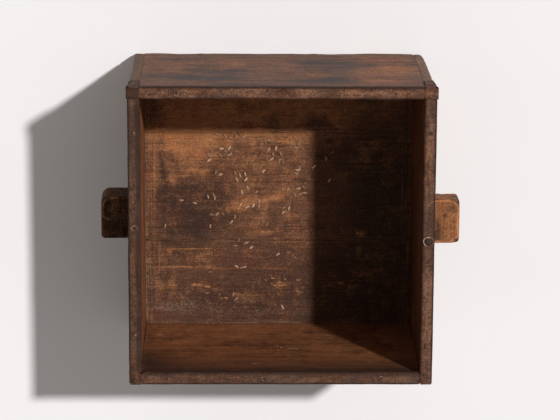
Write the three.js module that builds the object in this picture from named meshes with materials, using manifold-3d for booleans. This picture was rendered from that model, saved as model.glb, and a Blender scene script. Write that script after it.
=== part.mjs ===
// Grain measure: a square box of thin boards, open at the top.
// Four iron strips bind its mouth, and a wooden grip stands out on its left and right sides.
// Millimetres. The box stands on z = 0 with its mouth up, and the grips face X.

import * as THREE from "three";
import { mergeVertices } from "three/addons/utils/BufferGeometryUtils.js";
import Module from "manifold-3d";

const wasm = await Module();
wasm.setup();

// Space inside, which holds about 18 litres
const insideWidth = 303; // along X
const insideLength = 303; // along Y
const insideDepth = 196.5;

// Boards
const sideWallThickness = 11;
const endWallThickness = 11;
const bottomThickness = 13;
const frontPlankWidth = 99;
const rearPlankWidth = 78;
const boardBevel = 0.8;

// Grips
const gripReach = 33; // out from the wall
const gripLength = 52; // along the wall
const gripThickness = 32; // from its rim side to its base side
const gripDrop = 61; // from the top of the wall to the grip
const gripCornerRadius = 5; // outer arris on the base side
const gripWornRadius = 9; // outer arris on the rim side
const gripEndRadius = 4; // round the grip's two ends
const leftGripShift = 8; // towards the rear wall
const rightGripShift = 3.3;

// Iron strips of the rim
const stripThickness = 1;
const tabLength = 37; // folded down at each end of a strip
const outerLip = 5; // folded down along the outside of the wall
const innerLip = 4; // folded down along the inside of the wall
const outerBendRadius = 1.2;
const innerBendRadius = 2.5;

// Iron nails in the strips
const rimNailHeadRadius = 2.8;
const rimNailHeadHeight = 1.4;
const tabNailHeadRadius = 2.2;
const tabNailHeadHeight = 0.9;
const studHeadRadius = 5.8;
const studHeadHeight = 1.8;
const nailShankRadius = 1.2;
const nailTipLength = 5;
const nailLength = 30;
const rimNailFromEnd = 45;
const upperTabNail = 0.35; // share of a tab's length from its fold to its nail
const lowerTabNail = 0.65;

// Wooden pegs in the boards, cut off flush
const pegRadius = 2.2;
const pegLength = 34;
const gripPegLength = 30;
const cornerPegCount = 3;
const cornerPegBelowTab = 20;
const lowestCornerPeg = 32;
const footPegSpacing = 180; // between the two pegs along the foot of an end wall
const gripPegSpacing = 24;

// How far each rim nail sits from its even place, from one end of its strip to the other
const rimNailStrays = {
  rear: [5.5, 9, 2.5],
  front: [-3.5, -18, -9],
  right: [-2.5, -4, -3],
  left: [10.5, 10.5, -3.5],
};

// Clearances
const jointGap = 0.3; // between boards, under the iron, and around a nail or peg

// Facets
const nailSides = 8; // pegs too
const bendSteps = 3;
const gripRoundingSteps = 4;

// Places that follow from the sizes above
const halfInsideWidth = insideWidth / 2;
const halfInsideLength = insideLength / 2;
const halfWidth = halfInsideWidth + sideWallThickness;
const halfLength = halfInsideLength + endWallThickness;
const wallHeight = bottomThickness + insideDepth;
const sideWallMiddle = halfInsideWidth + sideWallThickness / 2;
const endWallMiddle = halfInsideLength + endWallThickness / 2;
const gripMiddleHeight = wallHeight - gripDrop - gripThickness / 2;
const middlePlankWidth = insideLength - frontPlankWidth - rearPlankWidth;
const stripTop = jointGap + stripThickness; // above the top of the wall
const lapRise = stripThickness + jointGap; // of a strip that lies over another
const clearOfLip = stripThickness + 2 * jointGap;

function standard(color, roughness, metalness) {
  return new THREE.MeshStandardMaterial({ color, roughness, metalness });
}

const wallWood = standard(0x7a583f, 0.75, 0);
const bottomWood = standard(0x9a6a44, 0.8, 0);
const gripWood = standard(0xa06c44, 0.7, 0);
const rimIron = standard(0x7a604f, 0.65, 0.6);
const nailIron = standard(0x544238, 0.6, 0.7);
const pegWood = standard(0x6a4a32, 0.8, 0);

function piece(name, geometry, material, x, y, z) {
  const mesh = new THREE.Mesh(geometry, material);
  mesh.name = name;
  mesh.position.set(x, y, z);
  return mesh;
}

function solidFrom(geometry) {
  const bare = geometry.clone();
  bare.deleteAttribute("normal");
  bare.deleteAttribute("uv");
  const merged = mergeVertices(bare, 1e-4);
  return new wasm.Manifold(
    new wasm.Mesh({
      numProp: 3,
      vertProperties: merged.attributes.position.array,
      triVerts: new Uint32Array(merged.index.array),
    }),
  );
}

function geometryFrom(solid) {
  const mesh = solid.getMesh();
  const geometry = new THREE.BufferGeometry();
  geometry.setAttribute("position", new THREE.BufferAttribute(mesh.vertProperties, 3));
  geometry.setIndex(new THREE.BufferAttribute(mesh.triVerts, 1));
  geometry.computeVertexNormals();
  return geometry;
}

// A board centred on its own origin, with its upper and lower edges bevelled
function board(width, length, thickness) {
  const halfX = width / 2;
  const halfY = length / 2;
  const outline = new THREE.Shape();
  outline.moveTo(-halfX, -halfY);
  outline.lineTo(halfX, -halfY);
  outline.lineTo(halfX, halfY);
  outline.lineTo(-halfX, halfY);
  outline.closePath();
  const bevel = Math.min(boardBevel, thickness / 4);
  const depth = thickness - 2 * bevel;
  const geometry = new THREE.ExtrudeGeometry(outline, {
    depth,
    bevelThickness: bevel,
    bevelSize: bevel,
    bevelOffset: -bevel,
    bevelSegments: 1,
  });
  return geometry.translate(0, 0, -depth / 2);
}

function sideWall(name, side) {
  const geometry = board(sideWallThickness, 2 * halfLength, wallHeight);
  return piece(name, geometry, wallWood, side * sideWallMiddle, 0, wallHeight / 2);
}

function endWall(name, side) {
  const geometry = board(insideWidth - 2 * jointGap, endWallThickness, wallHeight);
  return piece(name, geometry, wallWood, 0, side * endWallMiddle, wallHeight / 2);
}

// A plank of the bottom, from its front edge at startY, with a joint gap left all round it
function bottomPlank(name, startY, width) {
  const geometry = board(insideWidth - 2 * jointGap, width - 2 * jointGap, bottomThickness);
  return piece(name, geometry, bottomWood, 0, startY + width / 2, bottomThickness / 2);
}

// A block whose outer corners are rounded, cut flat where it meets the wall
function gripGeometry() {
  const corner = Math.min(gripCornerRadius, gripReach / 3, gripThickness / 3);
  const worn = Math.min(gripWornRadius, gripReach / 2, gripThickness / 2);
  const bevel = Math.min(gripEndRadius, 0.8 * corner, 0.8 * worn, gripLength / 3);
  const halfThickness = gripThickness / 2;
  const backing = -2 * bevel;
  const section = new THREE.Shape();
  section.moveTo(backing, -halfThickness);
  section.lineTo(gripReach - corner, -halfThickness);
  section.absarc(gripReach - corner, corner - halfThickness, corner, -Math.PI / 2, 0);
  section.lineTo(gripReach, halfThickness - worn);
  section.absarc(gripReach - worn, halfThickness - worn, worn, 0, Math.PI / 2);
  section.lineTo(backing, halfThickness);
  section.closePath();
  const depth = gripLength - 2 * bevel;
  const block = new THREE.ExtrudeGeometry(section, {
    depth,
    curveSegments: gripRoundingSteps,
    bevelThickness: bevel,
    bevelSize: bevel,
    bevelOffset: -bevel,
    bevelSegments: gripRoundingSteps,
  });
  block.translate(0, 0, -depth / 2);
  block.rotateX(Math.PI / 2);
  const behindWallFace = new THREE.BoxGeometry(4 * bevel, 2 * gripLength, 2 * gripThickness);
  behindWallFace.translate(jointGap - 2 * bevel, 0, 0);
  return geometryFrom(solidFrom(block).subtract(solidFrom(behindWallFace)));
}

function grip(name, side, shift) {
  const mesh = piece(name, gripGeometry(), gripWood, side * halfWidth, shift, gripMiddleHeight);
  mesh.rotation.z = side > 0 ? 0 : Math.PI;
  return mesh;
}

// Side view of a strip's flat band, with a tab folded down over each end of the wall.
// An end that laps over its neighbour is raised by that strip's thickness.
// The tabs stand off the wall by tabOutset, where they fold over the neighbours' lips.
function bandShape(halfRun, lapEdge, channelEdge, startLaps, endLaps, tabOutset) {
  const startUnder = jointGap + (startLaps ? lapRise : 0);
  const endUnder = jointGap + (endLaps ? lapRise : 0);
  const startTop = startUnder + stripThickness;
  const endTop = endUnder + stripThickness;
  const tabInside = halfRun + jointGap + tabOutset;
  const tabOutside = tabInside + stripThickness;
  const bend = Math.min(outerBendRadius, 2 * stripThickness);
  const shape = new THREE.Shape();
  shape.moveTo(-tabOutside, -tabLength);
  shape.lineTo(-tabInside, -tabLength);
  shape.lineTo(-tabInside, startUnder);
  shape.lineTo(-lapEdge, startUnder);
  shape.lineTo(-channelEdge, jointGap);
  shape.lineTo(channelEdge, jointGap);
  shape.lineTo(lapEdge, endUnder);
  shape.lineTo(tabInside, endUnder);
  shape.lineTo(tabInside, -tabLength);
  shape.lineTo(tabOutside, -tabLength);
  shape.lineTo(tabOutside, endTop - bend);
  shape.quadraticCurveTo(tabOutside, endTop, tabOutside - bend, endTop);
  shape.lineTo(lapEdge, endTop);
  shape.lineTo(channelEdge, stripTop);
  shape.lineTo(-channelEdge, stripTop);
  shape.lineTo(-lapEdge, startTop);
  shape.lineTo(bend - tabOutside, startTop);
  shape.quadraticCurveTo(-tabOutside, startTop, -tabOutside, startTop - bend);
  shape.closePath();
  return shape;
}

// Section of a strip between its corners: it folds down over both faces of the wall
function channelShape(wallThickness) {
  const outside = jointGap + stripThickness;
  const inside = -wallThickness - jointGap - stripThickness;
  const outerBend = Math.min(outerBendRadius, 2 * stripThickness);
  const innerBend = Math.min(innerBendRadius, 3 * stripThickness);
  const shape = new THREE.Shape();
  shape.moveTo(outside, -outerLip);
  shape.lineTo(outside, stripTop - outerBend);
  shape.quadraticCurveTo(outside, stripTop, outside - outerBend, stripTop);
  shape.lineTo(inside + innerBend, stripTop);
  shape.quadraticCurveTo(inside, stripTop, inside, stripTop - innerBend);
  shape.lineTo(inside, -innerLip);
  shape.lineTo(inside + stripThickness, -innerLip);
  shape.lineTo(inside + stripThickness, jointGap);
  shape.lineTo(jointGap, jointGap);
  shape.lineTo(jointGap, -outerLip);
  shape.closePath();
  return shape;
}

// A strip along X: the wall's outer face is y = 0 and its top is z = 0
function stripGeometry(run, startLaps, endLaps, tabOutset) {
  const { halfRun, halfInsideRun, wallThickness } = run;
  const lapEdge = halfInsideRun - jointGap;
  const channelEdge = halfInsideRun - clearOfLip;
  const bandOutline = bandShape(halfRun, lapEdge, channelEdge, startLaps, endLaps, tabOutset);
  const band = new THREE.ExtrudeGeometry(bandOutline, {
    depth: wallThickness,
    curveSegments: bendSteps,
    bevelEnabled: false,
  });
  band.rotateX(Math.PI / 2);
  const channel = new THREE.ExtrudeGeometry(channelShape(wallThickness), {
    depth: 2 * channelEdge,
    curveSegments: bendSteps,
    bevelEnabled: false,
  });
  channel.translate(0, 0, -channelEdge);
  channel.rotateX(Math.PI / 2);
  channel.rotateZ(Math.PI / 2);
  return solidFrom(band).add(solidFrom(channel));
}

const endRun = {
  halfRun: halfWidth,
  halfInsideRun: halfInsideWidth,
  wallThickness: endWallThickness,
};
const sideRun = {
  halfRun: halfLength,
  halfInsideRun: halfInsideLength,
  wallThickness: sideWallThickness,
};

// The front strip lies under the side strips.
// The rear one lies over them, with its tabs over their lips.
function endStrip(name, side, laps) {
  const solid = stripGeometry(endRun, laps, laps, laps ? lapRise : 0);
  const mesh = piece(name, geometryFrom(solid), rimIron, 0, side * halfLength, wallHeight);
  mesh.rotation.z = side > 0 ? 0 : Math.PI;
  return mesh;
}

// The rest of a side strip's outer lip, which runs on to the rear corner under the rear strip's tab
function lipTail(atStart) {
  const start = halfInsideLength - clearOfLip - stripThickness;
  const length = halfLength - start;
  const height = outerLip + stripTop;
  const tail = new THREE.BoxGeometry(length, stripThickness, height);
  const middle = start + length / 2;
  tail.translate(atStart ? -middle : middle, jointGap + stripThickness / 2, stripTop - height / 2);
  const bridge = new THREE.BoxGeometry(length, 2 * stripThickness, stripThickness);
  bridge.translate(atStart ? -middle : middle, jointGap, jointGap + stripThickness / 2);
  return solidFrom(tail).add(solidFrom(bridge));
}

// Each side strip laps over the front strip, and passes under the rear one
function sideStrip(name, side) {
  const startLaps = side < 0;
  const solid = stripGeometry(sideRun, startLaps, !startLaps, 0).add(lipTail(!startLaps));
  const mesh = piece(name, geometryFrom(solid), rimIron, side * halfWidth, 0, wallHeight);
  mesh.rotation.z = (-side * Math.PI) / 2;
  return mesh;
}

// A nail along Z: its head stands on z = 0 and its point is below
function nailGeometry(headRadius, headHeight) {
  const underHead = jointGap;
  const profile = [
    [0, -nailLength],
    [nailShankRadius, nailTipLength - nailLength],
    [nailShankRadius, underHead],
    [headRadius, underHead],
    [headRadius, underHead + 0.4 * headHeight],
    [0.6 * headRadius, underHead + 0.9 * headHeight],
    [0, underHead + headHeight],
  ];
  return turned(profile);
}

function nailHoleGeometry() {
  const radius = nailShankRadius + jointGap;
  const above = 2 * stripTop;
  const profile = [
    [0, -nailLength - jointGap],
    [radius, nailTipLength - nailLength],
    [radius, above],
    [0, above],
  ];
  return turned(profile);
}

// A round rod along Z, from its top down
function rodGeometry(radius, top, bottom) {
  return turned([
    [0, bottom],
    [radius, bottom],
    [radius, top],
    [0, top],
  ]);
}

function turned(profile) {
  const points = profile.map(([radius, height]) => new THREE.Vector2(radius, height));
  return new THREE.LatheGeometry(points, nailSides).rotateX(Math.PI / 2);
}

function turnOutward(mesh, outward) {
  const up = new THREE.Vector3(0, 0, 1);
  mesh.quaternion.setFromUnitVectors(up, new THREE.Vector3(...outward));
}

// A nail driven in at a point of the surface that its head rests on, which faces outward
function nail(name, point, outward, headRadius, headHeight) {
  const mesh = piece(name, nailGeometry(headRadius, headHeight), nailIron, ...point);
  turnOutward(mesh, outward);
  mesh.userData.hole = nailHoleGeometry();
  return mesh;
}

// A peg whose outer end is flush with the surface at a point, which faces outward
function peg(name, point, outward, length) {
  const mesh = piece(name, rodGeometry(pegRadius, 0, -length), pegWood, ...point);
  turnOutward(mesh, outward);
  mesh.userData.hole = rodGeometry(pegRadius + jointGap, pegRadius, -length - jointGap);
  return mesh;
}

// Cuts the holes of nails and pegs out of a piece that they pass through
function drill(target, fasteners) {
  target.updateMatrix();
  const toTarget = target.matrix.clone().invert();
  let solid = solidFrom(target.geometry);
  for (const driven of fasteners) {
    driven.updateMatrix();
    const place = toTarget.clone().multiply(driven.matrix);
    solid = solid.subtract(solidFrom(driven.userData.hole.clone().applyMatrix4(place)));
  }
  target.geometry = geometryFrom(solid);
}

function label(number) {
  return String(number + 1);
}

const walls = {
  left: sideWall("side_wall_left", -1),
  right: sideWall("side_wall_right", 1),
  front: endWall("end_wall_front", -1),
  rear: endWall("end_wall_rear", 1),
};

const planks = {
  front: bottomPlank("bottom_plank_front", -halfInsideLength, frontPlankWidth),
  middle: bottomPlank("bottom_plank_middle", frontPlankWidth - halfInsideLength, middlePlankWidth),
  rear: bottomPlank("bottom_plank_rear", halfInsideLength - rearPlankWidth, rearPlankWidth),
};

const grips = {
  left: grip("grip_left", -1, leftGripShift),
  right: grip("grip_right", 1, rightGripShift),
};

const strips = {
  left: sideStrip("rim_strip_left", -1),
  right: sideStrip("rim_strip_right", 1),
  front: endStrip("rim_strip_front", -1, false),
  rear: endStrip("rim_strip_rear", 1, true),
};

const sides = { left: -1, right: 1 };
const ends = { front: -1, rear: 1 };
const holesIn = new Map();
const fasteners = [];

function drive(driven, targets) {
  fasteners.push(driven);
  for (const target of targets) {
    if (!holesIn.has(target)) holesIn.set(target, []);
    holesIn.get(target).push(driven);
  }
}

// Three nails through each strip into the top of its wall; the right strip's middle one is a broad stud
function driveRimNails(place, halfRun, pointAt) {
  rimNailStrays[place].forEach((stray, index) => {
    const along = (index - 1) * (halfRun - rimNailFromEnd) + stray;
    const isStud = place === "right" && index === 1;
    const radius = isStud ? studHeadRadius : rimNailHeadRadius;
    const height = isStud ? studHeadHeight : rimNailHeadHeight;
    const name = isStud ? "rim_stud_right" : "rim_nail_" + place + "_" + label(index);
    const driven = nail(name, pointAt(along), [0, 0, 1], radius, height);
    drive(driven, [strips[place], walls[place]]);
  });
}

for (const [place, side] of Object.entries(sides)) {
  driveRimNails(place, halfLength, (along) => [side * sideWallMiddle, along, wallHeight + stripTop]);
}
for (const [place, end] of Object.entries(ends)) {
  driveRimNails(place, halfWidth, (along) => [along, end * endWallMiddle, wallHeight + stripTop]);
}

// One nail through each tab, into the corner behind it; the two at a corner miss each other
function tabNail(name, point, outward) {
  return nail(name, point, outward, tabNailHeadRadius, tabNailHeadHeight);
}

for (const [place, side] of Object.entries(sides)) {
  for (const [endPlace, end] of Object.entries(ends)) {
    const corner = place + "_" + endPlace;
    const outset = endPlace === "rear" ? lapRise : 0;
    const sidePoint = [
      side * (halfWidth + stripTop + outset),
      end * endWallMiddle,
      wallHeight - lowerTabNail * tabLength,
    ];
    const sideNail = tabNail("tab_nail_" + corner + "_side", sidePoint, [side, 0, 0]);
    drive(sideNail, [strips[endPlace], walls[place], walls[endPlace]]);
    const endPoint = [
      side * sideWallMiddle,
      end * (halfLength + stripTop),
      wallHeight - upperTabNail * tabLength,
    ];
    const endNail = tabNail("tab_nail_" + corner + "_end", endPoint, [0, end, 0]);
    drive(endNail, [strips[place], walls[place]]);
  }
}

// Pegs through the side walls into the ends of the end walls
for (const [place, side] of Object.entries(sides)) {
  for (const [endPlace, end] of Object.entries(ends)) {
    const highest = wallHeight - tabLength - cornerPegBelowTab;
    for (let index = 0; index < cornerPegCount; index++) {
      const share = index / (cornerPegCount - 1);
      const height = THREE.MathUtils.lerp(lowestCornerPeg, highest, share);
      const name = "corner_peg_" + place + "_" + endPlace + "_" + label(index);
      const point = [side * halfWidth, end * endWallMiddle, height];
      drive(peg(name, point, [side, 0, 0], pegLength), [walls[place], walls[endPlace]]);
    }
  }
}

// Pegs through the foot of each wall into the planks of the bottom
for (const [place, side] of Object.entries(sides)) {
  for (const [plankPlace, plank] of Object.entries(planks)) {
    const point = [side * halfWidth, plank.position.y, bottomThickness / 2];
    const name = "bottom_peg_" + place + "_" + plankPlace;
    drive(peg(name, point, [side, 0, 0], pegLength), [walls[place], plank]);
  }
}
for (const [place, end] of Object.entries(ends)) {
  for (const side of [-1, 1]) {
    const point = [(side * footPegSpacing) / 2, end * halfLength, bottomThickness / 2];
    const name = "bottom_peg_" + place + (side < 0 ? "_left" : "_right");
    drive(peg(name, point, [0, end, 0], pegLength), [walls[place], planks[place]]);
  }
}

// Pegs from inside the box into the grips
for (const [place, side] of Object.entries(sides)) {
  for (const step of [-1, 1]) {
    const along = grips[place].position.y + (step * gripPegSpacing) / 2;
    const point = [side * halfInsideWidth, along, gripMiddleHeight];
    const name = "grip_peg_" + place + (step < 0 ? "_front" : "_rear");
    drive(peg(name, point, [-side, 0, 0], gripPegLength), [walls[place], grips[place]]);
  }
}

for (const [target, driven] of holesIn) drill(target, driven);

const grainMeasure = new THREE.Group();
for (const set of [walls, planks, grips, strips]) grainMeasure.add(...Object.values(set));
grainMeasure.add(...fasteners);

export default grainMeasure;
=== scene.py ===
import math
from collections import namedtuple

import bpy
import numpy as np
from mathutils import Matrix, Vector


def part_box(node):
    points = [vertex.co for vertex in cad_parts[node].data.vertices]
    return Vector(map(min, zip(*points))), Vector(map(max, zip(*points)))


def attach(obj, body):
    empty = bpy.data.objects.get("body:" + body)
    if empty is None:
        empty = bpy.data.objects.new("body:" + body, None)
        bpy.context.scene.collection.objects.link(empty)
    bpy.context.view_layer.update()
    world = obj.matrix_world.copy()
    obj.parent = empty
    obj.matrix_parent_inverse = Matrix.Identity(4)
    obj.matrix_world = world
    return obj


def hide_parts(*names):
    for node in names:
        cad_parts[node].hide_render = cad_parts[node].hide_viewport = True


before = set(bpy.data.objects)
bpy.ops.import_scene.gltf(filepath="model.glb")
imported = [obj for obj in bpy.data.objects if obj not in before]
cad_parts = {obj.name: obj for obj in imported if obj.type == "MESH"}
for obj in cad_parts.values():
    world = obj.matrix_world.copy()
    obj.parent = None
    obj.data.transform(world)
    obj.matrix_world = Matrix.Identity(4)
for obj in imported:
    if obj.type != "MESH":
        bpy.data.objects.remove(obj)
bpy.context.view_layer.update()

# Geometry is worked out in millimetres, and mesh_object turns it into metres
MM = 0.001


def box(node):
    """A CAD node's lowest and highest corner, in millimetres."""
    low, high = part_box(node)
    return np.array(low) / MM, np.array(high) / MM


# Places taken from the frame
side_low, side_high = box("side_wall_right")
front_low, front_high = box("end_wall_front")
plank_low, plank_high = box("bottom_plank_middle")
INSIDE_X, OUTSIDE_X, WALL_TOP = side_low[0], side_high[0], side_high[2]
INSIDE_Y, OUTSIDE_Y = -front_high[1], -front_low[1]
BOTTOM_TOP = plank_high[2]
WALL = OUTSIDE_X - INSIDE_X
END_GAP = INSIDE_X - front_high[0]
PLANK_GAP = plank_low[1] - box("bottom_plank_front")[1][1]

# Iron of the rim: its thickness, how high it lies on a wall, how much a lapping end is raised, how long
# its tabs are, and how far its lips reach down
IRON = 1.0
IRON_TOP = box("rim_strip_front")[1][2] - WALL_TOP
LAP_RISE = box("rim_strip_rear")[1][2] - WALL_TOP - IRON_TOP
TAB_LENGTH = WALL_TOP - box("rim_strip_front")[0][2]
OUTER_LIP = 5.0
INNER_LIP = 4.0

# Camera solved from the photograph's edges
CAMERA_PLACE = Vector((-55.2, 685.3, 2934.1)) * MM
CAMERA_YAW = math.radians(1.122)
CAMERA_PITCH = math.radians(13.514)
CAMERA_ROLL = math.radians(0.318)
FOCAL_PIXELS = 2630.2
IMAGE_WIDTH = 560
SENSOR = 36  # millimetres

# Light travels from the upper right into the mouth
SUN_TRAVEL = Vector((-104, -71, -180))
SUN_STRENGTH = 2.9
SUN_ANGLE = math.radians(3.0)
SUN_COLOUR = (1.0, 0.98, 0.96)
SKY_STRENGTH = 0.30
SKY_COLOUR = (1.0, 0.945, 0.885)


# Noise on arrays of points

NOISE_TABLE = 4096
NOISE_PRIMES = np.array((73856093, 19349663, 83492791))


def lattice_noise(points, seed):
    """Smooth noise from -1 to 1 at points, one lattice cell per unit."""
    table = np.random.RandomState(seed).rand(NOISE_TABLE)
    cell = np.floor(points).astype(int)
    part = points - cell
    part = part * part * (3 - 2 * part)
    total = np.zeros(len(points))
    for corner in np.ndindex(2, 2, 2):
        index = np.bitwise_xor.reduce((cell + np.array(corner)) * NOISE_PRIMES, axis=1)
        weight = np.prod(np.where(np.array(corner) == 1, part, 1 - part), axis=1)
        total += weight * table[index % NOISE_TABLE]
    return 2 * total - 1


def layered_noise(points, size, seed, layers=3):
    """Layered noise whose largest features are about size millimetres across."""
    total = np.zeros(len(points))
    weight, frequency = 1.0, 1.0 / size
    for layer in range(layers):
        total += weight * lattice_noise(points * frequency, seed + layer)
        weight *= 0.5
        frequency *= 2.1
    return total


def unit(values):
    """Values kept between 0 and 1."""
    return np.clip(values, 0, 1)


def near(values, place, reach):
    """1 where a coordinate is at a place, falling to 0 at reach from it."""
    return unit(1 - np.abs(values - place) / reach)


def patches(across, up, rows):
    """Soft oval patches, summed. A row is a centre, two radii, an amount and perhaps a turn in degrees."""
    total = np.zeros(len(across))
    for x, y, long, wide, amount, *turn in rows:
        angle = math.radians(turn[0]) if turn else 0
        cosine, sine = math.cos(angle), math.sin(angle)
        u = ((across - x) * cosine + (up - y) * sine) / long
        v = ((up - y) * cosine - (across - x) * sine) / wide
        total += amount * np.exp(-(u * u + v * v))
    return total


# Meshes

def linked(name, data):
    """A new object in the scene."""
    piece = bpy.data.objects.new(name, data)
    bpy.context.scene.collection.objects.link(piece)
    return piece


def mesh_object(name, vertices, faces, smooth=True, crease=None):
    """An object from vertices in millimetres. Edges sharper than crease degrees stay sharp."""
    mesh = bpy.data.meshes.new(name)
    mesh.from_pydata((np.asarray(vertices, float) * MM).tolist(), [], [list(f) for f in faces])
    mesh.validate()
    mesh.polygons.foreach_set("use_smooth", [smooth] * len(mesh.polygons))
    if crease:
        mesh.set_sharp_from_angle(angle=math.radians(crease))
    mesh.update()
    return linked(name, mesh)


def store(piece, **amounts):
    """Keeps a number for each vertex, under each name, for the materials."""
    for name, values in amounts.items():
        attribute = piece.data.attributes.new(name, "FLOAT", "POINT")
        attribute.data.foreach_set("value", np.asarray(values, np.float32))


def points_of(piece):
    flat = np.zeros(3 * len(piece.data.vertices), np.float32)
    piece.data.vertices.foreach_get("co", flat)
    return flat.reshape(-1, 3).astype(float) / MM


def grid_lines(low, high, step, rounding):
    """Grid lines from low to high that crowd together at both ends."""
    ends = [share * rounding for share in (0, 0.12, 0.3, 0.55, 0.85, 1.25)]
    start, stop = low + ends[-1], high - ends[-1]
    count = max(1, int(round((stop - start) / step)))
    middle = np.linspace(start, stop, count + 1)
    return np.concatenate([low + np.array(ends[:-1]), middle, high - np.array(ends[-2::-1])])


def lattice_box(lines):
    """Vertices and quads of a box's surface on three sets of grid lines."""
    places, quads, start = [], [], 0
    for axis in range(3):
        a, b = (axis + 1) % 3, (axis + 2) % 3
        for end in (0, len(lines[axis]) - 1):
            grid = np.zeros((len(lines[a]), len(lines[b]), 3), int)
            grid[..., axis] = end
            grid[..., a] = np.arange(len(lines[a]))[:, None]
            grid[..., b] = np.arange(len(lines[b]))[None, :]
            number = start + np.arange(grid.shape[0] * grid.shape[1]).reshape(grid.shape[:2])
            corners = [number[:-1, :-1], number[1:, :-1], number[1:, 1:], number[:-1, 1:]]
            quad = np.stack(corners, axis=-1).reshape(-1, 4)
            quads.append(quad if end else quad[:, ::-1])
            places.append(grid.reshape(-1, 3))
            start += number.size
    unique, inverse = np.unique(np.concatenate(places), axis=0, return_inverse=True)
    vertices = np.stack([lines[k][unique[:, k]] for k in range(3)], axis=1)
    return vertices, inverse.reshape(-1)[np.concatenate(quads)]


def worn_block(name, low, high, step, rounding, wear, seed, chips, dents, sunk=None, lost=None):
    """A solid block from low to high whose arrises are rounded unevenly and chipped.

    step is the spacing of its vertices, rounding the least radius and wear the extra radius where the
    noise is strongest. chips is how many there are, and dents how deep the faces are worn. At points,
    sunk gives more depth and lost gives more rounding. No vertex leaves the box."""
    lines = [grid_lines(low[k], high[k], step, rounding + wear) for k in range(3)]
    flat, faces = lattice_box(lines)
    centre, half = (low + high) / 2, (high - low) / 2
    local = flat - centre
    noise = layered_noise(flat, 30, seed)
    radius = rounding + wear * unit(0.5 + 0.75 * noise)
    if lost:
        radius = radius + lost(flat)
    radius = np.minimum(radius, 0.94 * half.min())[:, None]
    inner = np.clip(local, -(half - radius), half - radius)
    out = local - inner
    normal = out / np.maximum(np.linalg.norm(out, axis=1, keepdims=True), 1e-6)
    near_edge = 1 - unit(np.sort(half - np.abs(local), axis=1)[:, 1] / 6)
    depth = dents * unit(0.5 + 0.6 * layered_noise(flat, 50, seed + 20))
    if sunk:
        depth = depth + sunk(flat)
    rng = np.random.RandomState(seed + 40)
    chipped = np.zeros(len(flat))
    for _ in range(chips):
        where = rng.uniform(-1, 1, 3)
        held = rng.permutation(3)[:2]
        where[held] = np.sign(where[held])
        away = np.linalg.norm(local - where * half, axis=1) / rng.uniform(2, 7)
        chipped = np.maximum(chipped, rng.uniform(0.3, 1.1) * unit(1.4 - away))
    shaped = inner + normal * (radius - (depth + chipped)[:, None])
    piece = mesh_object(name, shaped + centre, faces)
    store(piece, wear=unit(near_edge * (0.55 + 0.5 * noise) + 0.6 * chipped))
    return piece


def sheet_faces(present):
    """Quads of a sheet of present cells: its upper side, its under side and the edge round it."""
    columns, rows = present.shape[0] + 1, present.shape[1] + 1
    number = np.arange(columns * rows).reshape(columns, rows)
    under = number + columns * rows
    padded = np.pad(present, 1)
    i, j = np.nonzero(present)
    corners = [(i, j), (i, j + 1), (i + 1, j + 1), (i + 1, j)]
    upper = np.stack([number[c] for c in corners], axis=1)
    lower = np.stack([under[c] for c in corners[::-1]], axis=1)
    faces = [upper, lower]
    neighbours = [(0, 1), (1, 2), (2, 1), (1, 0)]
    for side, (di, dj) in enumerate(neighbours):
        open_side = ~padded[i + di, j + dj]
        a, b = corners[side], corners[(side + 1) % 4]
        edge = [number[b], number[a], under[a], under[b]]
        faces.append(np.stack(edge, axis=1)[open_side])
    return np.concatenate(faces)


def capped_faces(sides, rings):
    """Faces of a closed tube: a point, rings of vertices that run counterclockwise round it, and a point."""
    faces = []
    last = 1 + (rings - 1) * sides
    for side in range(sides):
        after = (side + 1) % sides
        faces.append((0, 1 + after, 1 + side))
        for low in range(1, last, sides):
            faces.append((low + side, low + after, low + sides + after, low + sides + side))
        faces.append((last + side, last + after, last + sides))
    return faces


def turned(profile, sides, wobble, seed):
    """Vertices and faces of a closed turned solid along +Z; the profile runs from its axis to its axis."""
    rng = np.random.RandomState(seed)
    angles = np.arange(sides) * 2 * math.pi / sides
    phases = rng.uniform(0, 2 * math.pi, 3)
    out_of_round = sum(np.cos((k + 2) * angles + phases[k]) / (k + 1) for k in range(3))
    vertices = [(0, 0, profile[0][1])]
    for radius, height in profile[1:-1]:
        reach = radius * (1 + wobble * out_of_round)
        lift = height + 0.4 * wobble * rng.uniform(-1, 1, sides)
        vertices += list(zip(reach * np.cos(angles), reach * np.sin(angles), lift))
    vertices.append((0, 0, profile[-1][1]))
    return np.array(vertices), capped_faces(sides, len(profile) - 2)


# Node helpers

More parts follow.
